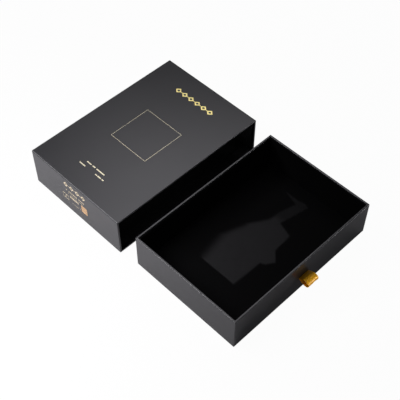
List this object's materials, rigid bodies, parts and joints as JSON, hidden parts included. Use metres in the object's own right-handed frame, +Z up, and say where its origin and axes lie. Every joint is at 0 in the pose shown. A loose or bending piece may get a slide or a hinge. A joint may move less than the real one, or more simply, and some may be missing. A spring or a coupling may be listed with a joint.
{
  "type": "sliding drawer gift box",
  "caption": "Rigid paper-covered gift box: a sleeve open at both long sides, and a flock-lined tray that slides out of it by a satin ribbon loop.",
  "frame": {"origin": "middle of the sleeve's underside, on the surface it stands on", "axes": "+X along the long side, +Z up, and the tray comes out of the front mouth towards -Y"},
  "size_m": [0.22, 0.3366, 0.0544],
  "materials": {
    "grey_board": "matte",
    "cover_paper": "satin",
    "lining_paper": "matte",
    "stay_tape": "matte",
    "flock_lining": "matte",
    "ribbon": "satin",
    "gold_foil": "satin"
  },
  "bodies": {
    "sleeve": {"sleeve_top_board": "grey_board", "sleeve_base_board": "grey_board", "sleeve_left_board": "grey_board", "sleeve_right_board": "grey_board", "sleeve_outer_wrap": "cover_paper", "sleeve_inner_liner": "lining_paper", "sleeve_base_sheet": "lining_paper"},
    "tray": {"tray_base_board": "grey_board", "tray_front_board": "grey_board", "tray_back_board": "grey_board", "tray_left_board": "grey_board", "tray_right_board": "grey_board", "tray_corner_stay_front_left": "stay_tape", "tray_corner_stay_front_right": "stay_tape", "tray_corner_stay_back_left": "stay_tape", "tray_corner_stay_back_right": "stay_tape", "tray_outer_wrap": "cover_paper", "tray_base_sheet": "lining_paper", "tray_wall_lining": "flock_lining", "tray_floor_pad": "flock_lining", "ribbon_tails": "ribbon", "ribbon_anchor_tape": "stay_tape"},
    "ribbon": {"ribbon_loop": "ribbon"}
  },
  "joints": [
    {"name": "tray_slide", "type": "slide", "parent": "sleeve", "child": "tray", "axis": [0, 1, 0], "range_m": [0, 0.1744]},
    {"name": "ribbon_flex", "type": "hinge", "parent": "tray", "child": "ribbon", "pos_m": [0, -0.2483, 0.02576], "axis": [1, 0, 0], "range_deg": [-35, 35], "stiffness_Nm_per_rad": 0.001}
  ]
}
